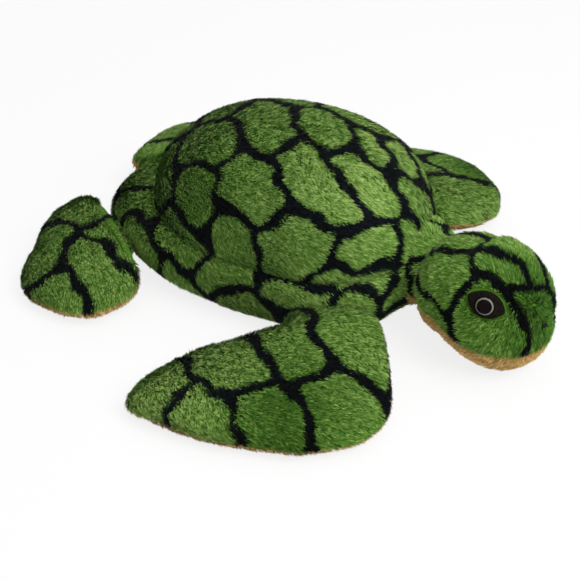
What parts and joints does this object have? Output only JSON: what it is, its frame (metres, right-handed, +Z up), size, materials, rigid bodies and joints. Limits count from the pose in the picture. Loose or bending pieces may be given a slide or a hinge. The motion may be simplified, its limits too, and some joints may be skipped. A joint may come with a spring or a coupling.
{
  "type": "plush turtle",
  "caption": "Soft stuffed sea turtle lying on its belly, with a domed shell, a turning neck, a nodding head and flapping flippers.",
  "frame": {"origin": "on the flat belly that the toy rests on, at the level of the floor", "axes": "+Z up, the nose points along -Y, and the turtle's left side is +X"},
  "size_m": [0.4338, 0.4429, 0.1433],
  "materials": {
    "shell_panel": "printed green plush pile with a dark network",
    "side_panel_left": "printed green plush pile with a dark network",
    "side_panel_right": "printed green plush pile with a dark network",
    "belly_panel": "short tan plush pile",
    "body_stuffing": "loose polyester fibre",
    "neck_cover": "printed green plush pile with a dark network",
    "throat_cover": "short tan plush pile",
    "neck_stuffing": "loose polyester fibre",
    "head_panel": "printed green plush pile with a dark network",
    "jaw_panel": "short tan plush pile",
    "head_stuffing": "loose polyester fibre",
    "eye_left": "polished",
    "eye_right": "polished",
    "eye_washer_left": "matte moulded",
    "eye_washer_right": "matte moulded",
    "eyelid_left": "short dark pile",
    "eyelid_right": "short dark pile",
    "nostril_left": "satin-stitched thread",
    "nostril_right": "satin-stitched thread",
    "front_flipper_left_top": "printed green plush pile with a dark network",
    "front_flipper_left_under": "short tan plush pile",
    "front_flipper_left_stuffing": "loose polyester fibre",
    "front_flipper_right_top": "printed green plush pile with a dark network",
    "front_flipper_right_under": "short tan plush pile",
    "front_flipper_right_stuffing": "loose polyester fibre",
    "rear_flipper_left_top": "printed green plush pile with a dark network",
    "rear_flipper_left_under": "short tan plush pile",
    "rear_flipper_left_stuffing": "loose polyester fibre",
    "rear_flipper_right_top": "printed green plush pile with a dark network",
    "rear_flipper_right_under": "short tan plush pile",
    "rear_flipper_right_stuffing": "loose polyester fibre"
  },
  "bodies": {
    "body": {"shell_panel": "shell_panel", "side_panel_left": "side_panel_left", "side_panel_right": "side_panel_right", "belly_panel": "belly_panel", "body_stuffing": "body_stuffing"},
    "neck": {"neck_cover": "neck_cover", "throat_cover": "throat_cover", "neck_stuffing": "neck_stuffing"},
    "head": {"head_panel": "head_panel", "jaw_panel": "jaw_panel", "head_stuffing": "head_stuffing", "eye_left": "eye_left", "eye_right": "eye_right", "eye_washer_left": "eye_washer_left", "eye_washer_right": "eye_washer_right", "eyelid_left": "eyelid_left", "eyelid_right": "eyelid_right", "nostril_left": "nostril_left", "nostril_right": "nostril_right"},
    "front_flipper_left": {"front_flipper_left_top": "front_flipper_left_top", "front_flipper_left_under": "front_flipper_left_under", "front_flipper_left_stuffing": "front_flipper_left_stuffing"},
    "front_flipper_right": {"front_flipper_right_top": "front_flipper_right_top", "front_flipper_right_under": "front_flipper_right_under", "front_flipper_right_stuffing": "front_flipper_right_stuffing"},
    "rear_flipper_left": {"rear_flipper_left_top": "rear_flipper_left_top", "rear_flipper_left_under": "rear_flipper_left_under", "rear_flipper_left_stuffing": "rear_flipper_left_stuffing"},
    "rear_flipper_right": {"rear_flipper_right_top": "rear_flipper_right_top", "rear_flipper_right_under": "rear_flipper_right_under", "rear_flipper_right_stuffing": "rear_flipper_right_stuffing"}
  },
  "joints": [
    {"name": "neck_turn", "type": "hinge", "parent": "body", "child": "neck", "pos_m": [0, -0.102, 0.044], "axis": [0, 0, 1], "range_deg": [-2, 40], "stiffness_Nm_per_rad": 0.5},
    {"name": "head_nod", "type": "hinge", "parent": "neck", "child": "head", "pos_m": [-0.02086, -0.15932, 0.0495], "axis": [0.9397, -0.342, 0], "range_deg": [-18, 18], "stiffness_Nm_per_rad": 0.6},
    {"name": "front_flipper_left_flap", "type": "hinge", "parent": "body", "child": "front_flipper_left", "pos_m": [0.09293, -0.07365, 0.032], "axis": [-0.4834, -0.8754, 0], "range_deg": [-10, 20], "stiffness_Nm_per_rad": 0.25},
    {"name": "front_flipper_right_flap", "type": "hinge", "parent": "body", "child": "front_flipper_right", "pos_m": [-0.09293, -0.07365, 0.032], "axis": [-0.4834, 0.8754, 0], "range_deg": [-15, 35], "stiffness_Nm_per_rad": 0.25},
    {"name": "rear_flipper_left_flap", "type": "hinge", "parent": "body", "child": "rear_flipper_left", "pos_m": [0.07596, 0.1447, 0.032], "axis": [0.5376, -0.8432, 0], "range_deg": [-15, 30], "stiffness_Nm_per_rad": 0.25},
    {"name": "rear_flipper_right_flap", "type": "hinge", "parent": "body", "child": "rear_flipper_right", "pos_m": [-0.07596, 0.1447, 0.032], "axis": [0.5376, 0.8432, 0], "range_deg": [-15, 30], "stiffness_Nm_per_rad": 0.25}
  ]
}
